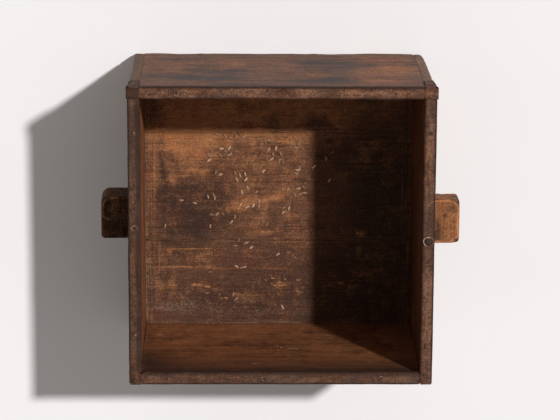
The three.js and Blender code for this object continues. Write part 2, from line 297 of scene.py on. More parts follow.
class Nodes:
    """Adds shader nodes to a new material and links what it is given."""

    def __init__(self, name):
        self.material = bpy.data.materials.new(name)
        self.material.use_nodes = True
        self.tree = self.material.node_tree
        self.tree.nodes.clear()

    def add(self, kind, inputs=None, **settings):
        node = self.tree.nodes.new(kind)
        for key, value in settings.items():
            setattr(node, key, value)
        for key, value in (inputs or {}).items():
            socket = node.inputs[key]
            if isinstance(value, bpy.types.NodeSocket):
                self.tree.links.new(value, socket)
            else:
                socket.default_value = tinted(value) if socket.type == "RGBA" else value
        return node

    def place(self, scale, shift=(0, 0, 0), turn=0):
        """Object coordinates in millimetres, turned about Z, scaled along each axis and shifted."""
        source = self.add("ShaderNodeTexCoord").outputs["Object"]
        inputs = {"Vector": source, "Rotation": (0, 0, math.radians(turn)), "Scale": (1 / MM,) * 3}
        rotated = self.add("ShaderNodeMapping", inputs).outputs["Vector"]
        inputs = {"Vector": rotated, "Scale": scale, "Location": shift}
        return self.add("ShaderNodeMapping", inputs).outputs["Vector"]

    def noise(self, vector, scale, detail, roughness=0.55, distortion=0.0):
        inputs = {"Vector": vector, "Scale": scale, "Detail": detail, "Roughness": roughness}
        inputs["Distortion"] = distortion
        return self.add("ShaderNodeTexNoise", inputs).outputs["Fac"]

    def math(self, operation, first, second=0.0):
        return self.add("ShaderNodeMath", {0: first, 1: second}, operation=operation).outputs[0]

    def product(self, first, second):
        return self.math("MULTIPLY", first, second)

    def sum(self, *terms):
        """Weighted sum of value and weight pairs."""
        total = self.product(*terms[0])
        for term in terms[1:]:
            total = self.math("ADD", total, self.product(*term))
        return total

    def mask(self, value, low, high, top=1.0):
        """0 below low, top above high, and smooth between them."""
        inputs = {"Value": value, "From Min": low, "From Max": high, "To Max": top}
        return self.add("ShaderNodeMapRange", inputs, interpolation_type="SMOOTHSTEP").outputs["Result"]

    def ragged(self, name, texture, width, low, high, top=1.0):
        """A mask from a vertex attribute whose border is broken up by a texture, over some width."""
        broken = self.product(self.math("SUBTRACT", texture, 0.5), width)
        return self.mask(self.math("ADD", self.attribute(name), broken), low, high, top)

    def threads(self, texture, reach, top):
        """Thin lines where a texture crosses its middle value."""
        away = self.math("ABSOLUTE", self.math("SUBTRACT", texture, 0.5))
        return self.mask(away, reach, reach / 5, top)

    def ramp(self, factor, stops):
        """A colour ramp; each stop is a place from 0 to 1 and a grey or a colour."""
        node = self.add("ShaderNodeValToRGB", {"Fac": factor})
        elements = node.color_ramp.elements
        while len(elements) < len(stops):
            elements.new(0.5)
        for element, (place, colour) in zip(elements, stops):
            element.position = place
            element.color = tinted(colour)
        return node.outputs["Color"]

    def mix(self, factor, first, second, blend="MIX"):
        inputs = {0: factor, 6: first, 7: second}
        return self.add("ShaderNodeMix", inputs, data_type="RGBA", blend_type=blend).outputs[2]

    def shaded(self, colour, amount, texture, stops):
        """A colour times a ramp of a texture."""
        return self.mix(amount, colour, self.ramp(texture, stops), "MULTIPLY")

    def attribute(self, name):
        return self.add("ShaderNodeAttribute", attribute_name=name).outputs["Fac"]

    def bump(self, height, distance, strength=1.0, below=None):
        inputs = {"Height": height, "Distance": distance * MM, "Strength": strength}
        if below is not None:
            inputs["Normal"] = below
        return self.add("ShaderNodeBump", inputs).outputs["Normal"]

    def finish(self, colour, roughness, normal, specular=0.35):
        inputs = {"Base Color": colour, "Roughness": roughness, "Normal": normal, "Metallic": 0.0}
        inputs["Specular IOR Level"] = specular
        shader = self.add("ShaderNodeBsdfPrincipled", inputs)
        output = self.add("ShaderNodeOutputMaterial")
        self.tree.links.new(shader.outputs[0], output.inputs[0])
        return self.material


def linear(value):
    return value / 12.92 if value <= 0.04045 else ((value + 0.055) / 1.055) ** 2.4


def tinted(colour):
    """A grey, or three 8-bit sRGB numbers, as a linear colour with alpha."""
    if isinstance(colour, (int, float)):
        return (colour, colour, colour, 1)
    return (*(linear(c / 255) for c in colour), 1)


# Materials

EVEN = (0.01, 0.01, 0.01)  # one unit of texture in 100 mm
# Every piece carries these amounts for its material, 0 where nothing else is stored
ATTRIBUTES = (
    "wear", "grime", "stain", "bright", "dust", "inside", "end", "streak", "rubbed", "dark", "tone",
)
# Tints that drift over the wood and over the rust: redder at one end, greener or yellower at the other
WOOD_HUES = [(0.4, (255, 236, 232)), (0.5, (253, 252, 251)), (0.6, (249, 251, 243))]
RUST_HUES = [(0.38, (236, 240, 238)), (0.5, (253, 253, 253)), (0.62, (255, 236, 212))]
# How dark the growth rings, the fibres, the specks and the grit of the rust are
RING_LINES = [(0, 0.78), (0.25, 0.97), (0.6, 1), (0.97, 0.74)]
WOVEN = [(0.36, 0.66), (0.5, 0.94), (0.63, 1.34)]
SPECKLED = [(0.3, 0.6), (0.5, 0.95), (0.68, 1.42)]
GRITTY = [(0.32, 0.5), (0.5, 0.98), (0.66, 1.4)]
RIM_DULL = (76, 55, 47)


def grain_scale(along, run, across):
    """Scales of a texture along X, Y and Z, for a grain that runs along X or along Y."""
    return (run, across, across) if along == "x" else (across, run, across)


def spread(tones, reach):
    """Stops for a ramp with three tones round its middle."""
    return list(zip((0.5 - reach, 0.5, 0.5 + reach), tones))


def wood(name, along, look, shift):
    """Old bare wood whose grain runs along one axis; shift moves the pattern, so no two boards are alike.

    look holds the tones outside and inside, the colours of dirt, stains, rubbed patches, curls and chips
    in them, dust, end grain and edges, how much of the rubbed patches shows, how streaky the grain is, how
    many growth rings it has and how much it shines."""
    n = Nodes(name)
    stretched = n.place(grain_scale(along, 0.012, 0.30), shift)
    even = n.place(EVEN, shift)
    figure = n.noise(stretched, 0.2, 3, 0.5, 1.2)
    broad = n.noise(stretched, 0.5, 3, 0.5, 0.6)
    fibres = n.noise(stretched, 1.8, 6, 0.65, 0.5)
    fine = n.noise(stretched, 3.4, 4, 0.7)
    cloud = n.noise(even, 2.4, 6, 0.62, 0.8)
    blots = n.noise(even, 11.0, 5, 0.68, 0.5)
    speckle = n.noise(even, 60.0, 3, 0.75)
    crossed = n.noise(n.place(grain_scale(along, 0.6, 0.12), shift), 1.0, 5, 0.7)
    swept = n.noise(n.place((0.4, 0.008, 0.1), shift), 1.2, 5, 0.75)
    elsewhere = n.place(EVEN, (shift[1], shift[2], shift[0]))
    hue = n.sum((n.noise(elsewhere, 3.5, 4, 0.6), 0.4), (n.noise(elsewhere, 36.0, 3, 0.7), 0.6))
    curls = n.noise(elsewhere, 20.0, 4, 0.65, 1.6)

    streaky = look["streaky"]
    streaks = n.sum((broad, 0.45), (fibres, 0.55))
    mottles = n.sum((cloud, 0.4), (blots, 0.35), (speckle, 0.25))
    grain = n.sum((streaks, streaky), (mottles, 1 - streaky))
    outer = n.ramp(grain, spread(look["outer"], 0.09))
    inner = n.ramp(grain, spread(look["inner"], 0.09))
    colour = n.mix(n.attribute("inside"), outer, inner)
    rings = n.math("FRACT", n.product(figure, look["rings"]))
    colour = n.shaded(colour, n.mask(cloud, 0.38, 0.6, 0.5 * streaky), rings, RING_LINES)

    rubbed = n.ramp(n.sum((fibres, 0.4), (speckle, 0.35), (blots, 0.25)), look["bright"])
    rubbing = n.sum((blots, 0.3), (speckle, 0.3), (fibres, 0.25), (crossed, 0.15))
    staining = n.sum((fibres, 0.6), (broad, 0.25), (speckle, 0.15))
    scratch = n.noise(n.place(grain_scale(along, 0.012, 0.35), shift, 7), 0.8, 2, 0.5)
    end = n.mix(n.mask(speckle, 0.35, 0.6), look["dirt"], look["end"])
    layers = (
        # This layer darkens towards the dirt colour for grime, and also for painted shade where a piece
        # stores it in this amount: the cast shadow on the bottom and the left grip's shaded faces
        (n.ragged("grime", n.sum((cloud, 0.5), (blots, 0.5)), 2.2, 0.05, 1.0, 0.92), look["dirt"]),
        # On the bottom the bright amount also holds painted light, lifting the band in the rear wall's shadow
        (n.ragged("bright", rubbing, 3.6, 0.1, 1.3, look["bright_amount"]), rubbed),
        (n.ragged("streak", swept, 3.0, 0.5, 1.2, 0.4), rubbed),
        (n.ragged("streak", swept, -3.0, 0.3, 1.2, 0.6), look["dirt"]),
        (n.ragged("rubbed", n.sum((speckle, 0.6), (fibres, 0.4)), 3.2, 0.3, 1.1, 0.6), look["chip"]),
        (n.product(n.threads(curls, 0.02, 0.3), n.ragged("bright", speckle, 1.5, 0.1, 0.9)), look["curl"]),
        (n.ragged("stain", staining, 4.0, 0.0, 0.9, 0.85), look["stain"]),
        (n.product(n.attribute("wear"), n.mask(fibres, 0.38, 0.6, 0.4)), look["edge"]),
        (n.product(n.mask(scratch, 0.69, 0.73), n.mask(cloud, 0.5, 0.65, 0.4)), look["edge"]),
        (n.ragged("dust", n.sum((speckle, 0.75), (blots, 0.25)), 3.0, 0.45, 1.3, 0.6), look["dust"]),
        (n.product(n.attribute("end"), 0.6), end),
    )
    for amount, cover in layers:
        colour = n.mix(amount, colour, cover)

    colour = n.shaded(colour, 1.0, hue, WOOD_HUES)
    woven = n.sum((crossed, 0.15), (fine, 0.85))
    calm = n.product(n.attribute("bright"), 0.3)
    colour = n.shaded(colour, n.math("SUBTRACT", 0.75, calm), woven, WOVEN)
    colour = n.shaded(colour, n.math("SUBTRACT", 0.5, calm), speckle, SPECKLED)

    roughness = n.ramp(fibres, [(0.3, 0.84), (0.7, 0.64)])
    height = n.sum((fibres, 0.5), (fine, 0.4), (crossed, 0.1))
    normal = n.bump(height, 0.6, 0.6)
    normal = n.bump(n.sum((speckle, 0.6), (blots, 0.4)), 0.4, 0.5, normal)
    return n.finish(colour, roughness, normal, specular=look["shine"])


def rusted_iron(name, tones, fleck, edge, shift, fleck_amount=0.5, along="x", gritty=0.72):
    """Thin old iron under brown rust: lighter flecks where it is rubbed, darker at its bends and edges.

    gritty is how much its grit shows."""
    n = Nodes(name)
    even = n.place(EVEN, shift)
    cloud = n.noise(even, 5.0, 6, 0.65, 0.6)
    spots = n.noise(even, 24.0, 5, 0.68)
    grit = n.noise(even, 55.0, 4, 0.7)
    smeared = n.noise(n.place(grain_scale(along, 0.03, 0.2), shift), 1.0, 5, 0.65, 0.4)
    mottled = n.sum((cloud, 0.3), (spots, 0.25), (grit, 0.2), (smeared, 0.25))
    colour = n.ramp(mottled, spread(tones, 0.1))
    broad = n.noise(n.place(EVEN, (shift[1], shift[0], 6)), 1.7, 4, 0.6)
    colour = n.mix(n.mask(broad, 0.47, 0.6, 0.65), colour, RIM_DULL)
    hue = n.noise(n.place(EVEN, (shift[2], 9, 2)), 3.5, 5, 0.7)
    colour = n.shaded(colour, 1.0, hue, RUST_HUES)
    texture = n.sum((spots, 0.35), (grit, 0.25), (smeared, 0.4))
    colour = n.mix(n.ragged("rubbed", texture, 3.2, 0.5, 1.3, fleck_amount), colour, fleck)
    swirls = n.noise(even, 12.0, 4, 0.6, 2.5)
    swirl = n.product(n.threads(swirls, 0.025, 0.35), n.attribute("rubbed"))
    colour = n.mix(swirl, colour, fleck)
    colour = n.mix(n.ragged("dark", grit, 0.8, 0.2, 0.9, 0.85), colour, edge)
    colour = n.shaded(colour, gritty, grit, GRITTY)
    roughness = n.ramp(spots, [(0.35, 0.86), (0.65, 0.66)])
    normal = n.bump(spots, 0.6, 0.6)
    normal = n.bump(grit, 0.25, 0.6, normal)
    return n.finish(colour, roughness, normal, specular=0.16)


def husk_straw():
    """Dry husk; each husk has its own tone."""
    n = Nodes("husk_straw")
    along = n.noise(n.place((0.4, 0.4, 0.4)), 3.0, 4)
    tone = n.sum((n.attribute("tone"), 0.7), (along, 0.5))
    colour = n.ramp(tone, [(0.2, (112, 81, 61)), (0.5, (154, 118, 92)), (0.85, (196, 160, 131))])
    return n.finish(colour, n.ramp(along, [(0.3, 0.7), (0.7, 0.55)]), n.bump(along, 0.1, 0.5))


def paint(piece, material, slot, *nodes):
    """Gives a piece its material and the amounts it lacks, hangs it under the root body and hides the nodes
    that it stands for.
    """
    piece.data.materials.clear()
    piece.data.materials.append(material)
    missing = [name for name in ATTRIBUTES if name not in piece.data.attributes]
    store(piece, **dict.fromkeys(missing, np.zeros(len(piece.data.vertices))))
    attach(piece, "root")
    if nodes:
        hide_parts(*nodes)


# Boards of the walls

WALL_LOOK = {
    "outer": ((56, 36, 27), (100, 69, 53), (138, 95, 71)),
    "inner": ((66, 39, 24), (128, 80, 49), (172, 114, 72)),
    "dirt": (52, 33, 26),
    "stain": (52, 50, 55),
    "bright": [(0.42, (126, 77, 46)), (0.58, (178, 116, 72))],
    "curl": (178, 116, 72),
    "chip": (226, 188, 156),
    "dust": (156, 130, 110),
    "end": (130, 105, 84),
    "edge": (144, 106, 82),
    "bright_amount": 0.75,
    "streaky": 0.55,
    "rings": 7.0,
    "shine": 0.25,
}
# What differs on single walls. The right wall's darker inner tones are painted shade, deepening the cast
# shadow on its inner face
WALL_LOOKS = {
    "side_wall_left": {"end": (104, 84, 66)},
    "side_wall_right": {"end": (140, 113, 90), "inner": ((52, 30, 18), (96, 59, 36), (128, 82, 52))},
    "end_wall_front": {"streaky": 0.4, "rings": 3.0},
    "end_wall_rear": {},
}
JOINT_CLOSING = 0.4  # an end wall goes this far into the side walls' wear, so no light shows through
# How far grime reaches from the bottom, the front corners, the rim and the base, and from which height
# up to which it gets darker inside the front wall
FOOT_GRIME = 22
FRONT_CORNER_GRIME = 40
RIM_STAIN = 22
BASE_GRIME = 12
FRONT_RISE = (120, 205)

# Rubbed patches on the outside of the rear wall, as rows for patches: X, height, radii, amount and turn
REAR_PATCHES = (
    (-125, 115, 16, 12, 0.3), (-97, 140, 16, 12, 0.5), (-52, 178, 24, 10, 0.6),
    (-112, 92, 9, 16, 0.5, 20), (-80, 128, 12, 7, 0.5), (-52, 70, 16, 18, 0.5, -20),
    (-120, 170, 18, 8, 0.3), (40, 130, 18, 10, 0.3), (70, 110, 16, 12, 0.5), (120, 100, 30, 34, 1.0),
    (105, 165, 30, 12, 0.9), (128, 40, 26, 20, 0.4),
)
# Old dark stains there, without any sign or letter in them
REAR_STAINS = (
    (-118, 38, 22, 8, 0.7, 6), (-90, 150, 44, 14, 1.0, 4), (-62, 112, 34, 13, 0.8, -6),
    (-92, 78, 28, 9, 0.6, 3), (-50, 186, 24, 8, 0.7), (46, 58, 40, 13, 0.9, 3),
    (62, 112, 22, 24, 0.7, 30), (88, 78, 32, 11, 0.6, -5), (44, 172, 48, 14, 0.65),
    (60, 156, 24, 13, 0.9), (0, 196, 80, 10, 0.4),
)
# Lighter streaks inside the front wall
FRONT_STREAKS = (
    (-88, 36, 60, 20, 1.0), (5, 30, 70, 18, 0.9), (-118, 90, 28, 6, 1.1, 2), (-50, 74, 60, 16, 0.6, -8),
    (60, 96, 50, 8, 0.5), (110, 150, 40, 20, 0.5), (-30, 125, 40, 8, 0.4), (-60, 22, 70, 3, 0.6),
    (-95, 58, 44, 3, 0.6, 1), (-20, 52, 50, 3, 0.6, -1), (30, 76, 50, 2.5, 0.5, 1),
    (-70, 106, 50, 3, 0.5, 1), (20, 120, 60, 3, 0.5), (70, 140, 50, 3, 0.5, -1),
)
# A darker patch there at its corner by the left wall, and flecks where the wood is chipped
FRONT_CORNER_DARKENING = (
    (-150, 150, 34, 50, 1),
)
FRONT_CHIPS = (
    (-135, 59, 6, 2.4, 1.3, 1), (-2, 104, 1.8, 2, 1.1, 30), (2, 112, 1.6, 2.4, 1.2),
    (-1, 122, 1.8, 2.4, 1.3), (12, 115, 6, 2, 1.1, 2), (20, 114, 3, 1.8, 0.8), (-33, 34, 7, 2, 0.7),
    (57, 61, 7, 2, 0.7), (-28, 172, 5, 2.4, 0.8), (42, 27, 5, 2, 0.6), (-22, 67, 5, 2, 0.6),
)


def base_wear(points):
    """How far the foot of a wall is worn away."""
    waves = np.clip(0.45 + 0.8 * layered_noise(points, 55, 5, 2), 0, 1.4)
    return 0.9 * unit(1 - points[:, 2] / 10) * waves


def lost_corner(points):
    """Extra rounding at the foot of the wall's rear right corner."""
    away = np.hypot(points[:, 0] - OUTSIDE_X, points[:, 1] - OUTSIDE_Y)
    return 4.5 * unit(1 - points[:, 2] / 45) * unit(1.6 - away / 9)


def wall_finish(piece, seed, name):
    """Where a wall is rubbed, stained by the iron and grimy, and which of its faces are inside."""
    points = points_of(piece)
    x, y, z = points.T
    is_side = name.startswith("side")
    face = INSIDE_X - np.abs(x) if is_side else INSIDE_Y - np.abs(y)
    inside = unit(face + 1.5)
    end = unit((np.abs(y) - OUTSIDE_Y + 1.2) / 0.8) * is_side
    ragged = 0.5 + 0.5 * layered_noise(points, 20, seed)
    foot = near(z, BOTTOM_TOP, FOOT_GRIME) * inside * (0.25 if name == "end_wall_front" else 1)
    if is_side:
        foot += 0.9 * near(y, -INSIDE_Y, FRONT_CORNER_GRIME) * inside
    rim = 0.9 * near(z, WALL_TOP, RIM_STAIN)
    base = 0.5 * near(z, 0, BASE_GRIME)
    grime = (foot + rim + base) * (0.4 + ragged) * 0.7
    bright = 0.25 + 0.4 * layered_noise(points, 70, seed + 5, 2)
    if name == "end_wall_rear":
        across = x + 9 * layered_noise(points, 22, seed + 9)
        up = z + 6 * layered_noise(points, 16, seed + 13)
        store(piece, stain=unit((1 - inside) * patches(across, up, REAR_STAINS)))
        bright += (1 - inside) * patches(x, z, REAR_PATCHES)
    if name == "end_wall_front":
        grime += inside * (0.75 * np.interp(z, FRONT_RISE, (0, 1)) + 0.5 * patches(x, z, FRONT_CORNER_DARKENING))
        bright = bright * (1 - inside) + inside * patches(x, z, FRONT_STREAKS)
        store(piece, rubbed=inside * patches(x, z, FRONT_CHIPS))
    grime, bright = unit(grime), unit(bright - 0.5 * end)
    dust = 0.8 * near(z, BOTTOM_TOP, 2) * inside
    store(piece, inside=inside, end=end, grime=grime, bright=bright, dust=dust)


def build_walls():
    for index, name in enumerate(("side_wall_left", "side_wall_right", "end_wall_front", "end_wall_rear")):
        low, high = box(name)
        is_side = name.startswith("side")
        swell = np.array([0 if is_side else END_GAP + JOINT_CLOSING, 0, 0])
        lost = lost_corner if name == "side_wall_right" else None
        rounding, wear = (0.6, 1.2) if is_side else (0.4, 0.9)
        size = low - swell, high + swell, 1.8 if name == "end_wall_front" else 2.6
        piece = worn_block(name + "_board", *size, rounding, wear, 11 + index, 26, 0.4, base_wear, lost)
        wall_finish(piece, 60 + index, name)
        shift = (7.3 * index, 3.1 * index, index)
        look = dict(WALL_LOOK, **WALL_LOOKS[name])
        paint(piece, wood("wood_" + name, "y" if is_side else "x", look, shift), "wall_wood", name)


# Planks of the bottom

BOTTOM_LOOK = {
    "outer": ((84, 56, 40), (128, 92, 70), (160, 120, 92)),
    "inner": ((68, 43, 31), (104, 68, 48), (138, 94, 67)),
    "dirt": (57, 36, 28),
    "stain": (46, 43, 47),
    "bright": [(0.38, (132, 83, 53)), (0.62, (204, 141, 90))],
    "curl": (204, 141, 90),
    "chip": (198, 137, 91),
    "dust": (132, 113, 98),
    "end": (130, 105, 84),
    "edge": (156, 112, 80),
    "bright_amount": 0.82,
    "streaky": 0.3,
    "rings": 6.0,
    "shine": 0.25,
}
SIDE_BAND = 14  # along the foot of the side walls, where the grain is rubbed across

# Rubbed patches inside, on the bottom, as rows for patches; a negative amount keeps wood dull. The broad row
# at Y 112 is painted light: it lightens the band in the rear wall's cast shadow
BOTTOM_PATCHES = (
    (-106, 60, 28, 17, 0.75), (-98, 57, 24, 6, 0.5), (-123, 20, 5, 10, 0.5), (-98, 38, 22, 10, 0.3),
    (-97, 25, 13, 4, 0.5), (-49, 70, 85, 5, 0.5), (-145, 58, 6, 40, 0.4), (-147, -30, 4, 90, 0.1),
    (-34, 38, 30, 8, 0.3, 5), (-36, 16, 22, 8, 0.3, 10), (-38, -9, 19, 5.5, 0.85, 12),
    (-2, 0, 17, 4, 0.75, 14), (14, 11, 9, 6, 0.4, 20), (-17, -22, 4, 12, 0.4, -12), (-9, -42, 9, 4, 0.5),
    (-32, -72, 14, 7, 0.3), (-89, -73, 7, 5, 0.45), (-122, -66, 3, 7, 0.5, 10),
    (-121, -103, 4, 15, 0.45, -10), (-130, -85, 4, 20, 0.25, 5), (-90, -107, 15, 3.5, 0.25, 5),
    (-66, -113, 12, 3, 0.2), (-138, -108, 6, 14, 0.35), (-28, -120, 10, 6, 0.25), (5, 64, 16, 6, 0.4),
    (-46, -118, 8, 3, 0.35), (2, -108, 7, 5, 0.3, 30), (22, -110, 4, 8, 0.4, -20),
    (-60, 112, 130, 40, 1.25), (-88, 90, 34, 10, 0.5), (-36, 104, 22, 7, -0.7), (-5, 90, 9, 7, -0.5),
    (43, 86, 13, 9, -0.5), (-141, 98, 10, 24, -0.5), (-112, 69, 16, 6, 0.3), (13, 24, 12, 7, 0.3),
    (13, -22, 10, 6, 0.35), (95, -45, 5, 5, 0.5), (93, -62, 4, 7, 0.5), (85, -108, 5, 6, 0.4),
)
# Scrapes along and across the grain there
BOTTOM_SCRAPES = (
    (-107, -84.5, 30, 0.7, 0.9), (-80, -84, 6, 1.4, 0.5), (-108, -63, 28, 0.7, 0.7),
    (-136, -75, 0.8, 13, 0.4), (-141, 10, 0.5, 60, 0.35), (-60, -86, 24, 0.6, 0.4),
    (5, -86, 20, 0.6, 0.4), (5, -103, 26, 0.7, 0.3),
)
# Dark dirt pressed into it, and painted shade: the rows round X 110 and 120 darken the part in the right
# wall's cast shadow, over wood that is darker there too
BOTTOM_DIRT_AND_SHADE = (
    (-95, -8, 34, 26, 1.1, -15), (-104, 2, 16, 10, 0.4), (-133, 40, 4, 34, 0.6), (-130, 4, 9, 30, 0.5),
    (-129, -36, 6, 10, 0.4), (-62, -24, 26, 15, 0.6), (-62, 8, 12, 9, 0.6, 20), (12, 14, 16, 4, 0.4, 8),
    (14, -14, 12, 7, 0.3), (-106, -44, 34, 13, 0.8), (-40, 30, 40, 18, 0.3), (-108, -62, 40, 16, 0.4),
    (-126, -76, 16, 32, 0.3), (-10, -72, 90, 26, 0.4), (-30, -122, 140, 34, 0.82),
    (120, -66, 64, 120, 1.05), (110, 60, 60, 50, 0.6), (-111, -14, 15, 11, 0.45), (-40, -53, 22, 8, 0.4),
    (13, -62, 12, 6, 0.35), (-133, -98, 7, 12, 0.35), (-2, -98, 10, 6, 0.3), (-146, -40, 12, 110, 0.2),
    (-141, 98, 9, 24, 0.5), (-36, 104, 20, 6, 0.6), (-5, 90, 8, 6, 0.5), (43, 86, 12, 8, 0.25),
    (-118, 112, 14, 3, 0.4),
)
# Pale dust on it
BOTTOM_DUST = (
    (-144, -96, 7, 36, 0.6), (-122, -134, 26, 8, 0.5), (-104, -124, 50, 12, 0.5),
    (-20, -136, 100, 10, 0.5), (-60, -60, 60, 30, 0.2),
)
# Groups of small chips there: centre, spread along X and Y, how many, and how large
BOTTOM_CHIPS = (
    (-84, -109, 22, 6, 14, 1.9), (-50, -118, 18, 5, 12, 1.4), (-22, -100, 30, 10, 12, 1.2),
    (4, -110, 9, 9, 12, 1.9), (24, -108, 5, 10, 7, 1.9), (-10, -76, 30, 10, 12, 1),
    (-104, -76, 28, 12, 10, 1), (-30, -46, 30, 8, 8, 1), (20, -90, 14, 26, 12, 1.2),
    (80, -108, 14, 6, 5, 1.6), (92, -56, 6, 14, 5, 1.5), (0, 4, 26, 8, 10, 1), (-120, 60, 14, 12, 5, 1),
)


def chip_rows(rng, groups):
    """Rows for patches: one small streak for each chip, most of them nearly along X."""
    rows = []
    for x, y, spread_x, spread_y, count, scale in groups:
        for _ in range(count):
            place = np.array((x, y)) + rng.uniform(-1, 1, 2) * (spread_x, spread_y)
            size = scale * rng.uniform(0.8, 2.8), math.sqrt(scale) * rng.uniform(0.55, 0.9)
            turn, amount = rng.normal(0, 22), rng.uniform(0.5, 1.1)
            rows.append((*place, *size, amount, turn))
    return rows


def plank_finish(piece, low, high, seed):
    """Where a plank is rubbed, scraped, chipped, dirty and dusty, with painted shade in the right wall's
    shadow and painted light in the rear wall's.
    """
    points = points_of(piece)
    x, y, z = points.T
    up = unit(z - BOTTOM_TOP + 1.5)
    noise = layered_noise(points, 24, seed)
    warped = x + 3 * layered_noise(points, 14, seed + 1)
    lifted = y + 3 * layered_noise(points, 14, seed + 2)
    edge = np.maximum.reduce([near(x, -INSIDE_X, 8), near(x, INSIDE_X, 16), near(y, -INSIDE_Y, 14)])
    band = unit(4 - 4 * (INSIDE_X - np.abs(x)) / SIDE_BAND)
    # dirt holds painted shade too, from the rows of that table over the right wall's cast shadow
    dirt = 0.15 + 0.15 * noise + patches(warped, lifted, BOTTOM_DIRT_AND_SHADE) + 0.3 * edge
    # rubbed holds painted light too, from the broad row of that table in the rear wall's shadow
    rubbed = 0.2 + 0.2 * noise + patches(warped, lifted, BOTTOM_PATCHES)
    rubbed += patches(x, 0.8 * y + 0.2 * lifted, BOTTOM_SCRAPES)
    line = np.maximum(0.8 * near(x, -INSIDE_X, 3), 0.9 * near(y, -INSIDE_Y, 3))
    joint = np.maximum(near(y, low[1], 2.5), near(y, high[1], 2.5))
    below = (0.35 + 0.4 * noise) * (1 - up) + joint * unit(0.7 - 0.65 * up + 0.3 * noise)
    store(
        piece,
        inside=up,
        grime=unit(unit(dirt - 0.7 * rubbed) * up + below),
        bright=np.clip(rubbed, 0, 1.2) * up,
        streak=0.6 * band * up,
        rubbed=patches(x, y, chip_rows(np.random.RandomState(5), BOTTOM_CHIPS)) * up,
        dust=unit(patches(warped, lifted, BOTTOM_DUST) + line) * up,
    )


def build_bottom():
    swell = np.array([PLANK_GAP + 0.1, PLANK_GAP / 2 + 0.02, 0])  # into the joints, so no light shows through
    for index, place in enumerate(("front", "middle", "rear")):
        name = "bottom_plank_" + place
        low, high = box(name)
        step = 1.1 if place == "front" else 1.5
        piece = worn_block(name + "_board", low - swell, high + swell, step, 0.15, 0.2, 31 + index, 8, 0.3)
        plank_finish(piece, low, high, 81)
        shift = (5.7 * index, 9.4 * index, 2)
        paint(piece, wood("wood_" + name, "x", BOTTOM_LOOK, shift), "bottom_wood", name)


# Grips

GRIP_TONES = ((80, 47, 29), (140, 92, 58), (180, 124, 80))
GRIP_LOOK = {
    "outer": GRIP_TONES,
    "inner": GRIP_TONES,
    "dirt": (52, 33, 25),
    "stain": (50, 36, 30),
    "bright": [(0.40, (150, 94, 56)), (0.60, (202, 136, 84))],
    "curl": (202, 136, 84),
    "chip": (206, 142, 90),
    "dust": (120, 96, 76),
    "end": (136, 110, 88),
    "edge": (150, 104, 72),
    "bright_amount": 0.7,
    "streaky": 0.25,
    "rings": 6.0,
    "shine": 0.25,
}
GRIP_DARK_LOOK = dict(
    GRIP_LOOK,
    outer=((33, 21, 17), (60, 39, 31), (96, 65, 50)),
    bright=[(0.40, (96, 68, 48)), (0.60, (178, 132, 92))],
    curl=(178, 132, 92),
    chip=(178, 132, 92),
    shine=0.08,
)
RING_PLACE = 1.9  # how far inside the arris the worn ring runs, and the groove inside the outer face
GROOVE_PLACE = 6.4
GROOVE_DEPTH = 0.45
CORNER_DROP = 3.5  # how far below its upper face a grip's corners have their lower radius
ARRIS = 0.9  # what is less than this below the upper face belongs to it
# How much shorter each grip is at its front and rear end, the radii of its outer corners there at the
# upper face and below it, and how far its rear face leans in
GRIP_SHAPES = {
    "left": {"short": (1.5, 0), "above": (4.5, 14), "below": (3.5, 9), "lean": 3.2},
    "right": {"short": (1.0, 1.5), "above": (11, 13), "below": (3.0, 4.0), "lean": 0},
}
# Light marks on the left grip and a dark one on the right, as rows of patches
GRIP_HOOK = (
    (-192.8, 8.5, 2.4, 0.9, 0.9, -50), (-188, 5.2, 3.6, 0.9, 0.9, -18), (-190, 14, 3, 5, 0.25),
)
GRIP_SHADE = (
    (171, -12, 7, 14, 0.75), (172, 12, 3, 12, 0.3),
)


def grip_edges(points, low, high):
    """How far points lie inside a grip's outer face and inside its nearer end."""
    outer = max(abs(low[0]), abs(high[0]))
    from_end = (high[1] - low[1]) / 2 - np.abs(points[:, 1] - (low[1] + high[1]) / 2)
    return outer - np.abs(points[:, 0]), from_end


def corner_radius(points, low, high, shape):
    """Radius in plan of a grip's outer corners. It differs between its ends and at the upper face."""
    is_rear = (points[:, 1] > (low[1] + high[1]) / 2).astype(int)
    above, below = np.array(shape["above"])[is_rear], np.array(shape["below"])[is_rear]
    return below + (above - below) * unit(1 - (high[2] - points[:, 2]) / CORNER_DROP)


def shape_grip(piece, low, high, shape):
    """Rounds a grip's outer corners in plan and leans its rear face, by moving vertices inward."""
    points = points_of(piece)
    from_outer, from_end = grip_edges(points, low, high)
    radius = corner_radius(points, low, high, shape)
    out, sideways = radius - from_outer, radius - from_end
    reach = np.maximum(np.hypot(out, sideways), 0.01)
    lost = np.where((out > 0) & (sideways > 0), 1 - np.maximum(out, sideways) / reach, 0)
    middle = (low[1] + high[1]) / 2
    points[:, 0] -= np.sign(low[0]) * lost * out
    points[:, 1] -= np.sign(points[:, 1] - middle) * lost * sideways
    rise = (points[:, 2] - low[2]) / (high[2] - low[2])
    points[:, 1] -= shape["lean"] * rise * unit((points[:, 1] - middle) / (high[1] - middle))
    piece.data.vertices.foreach_set("co", (points * MM).astype(np.float32).reshape(-1))
    piece.data.update()


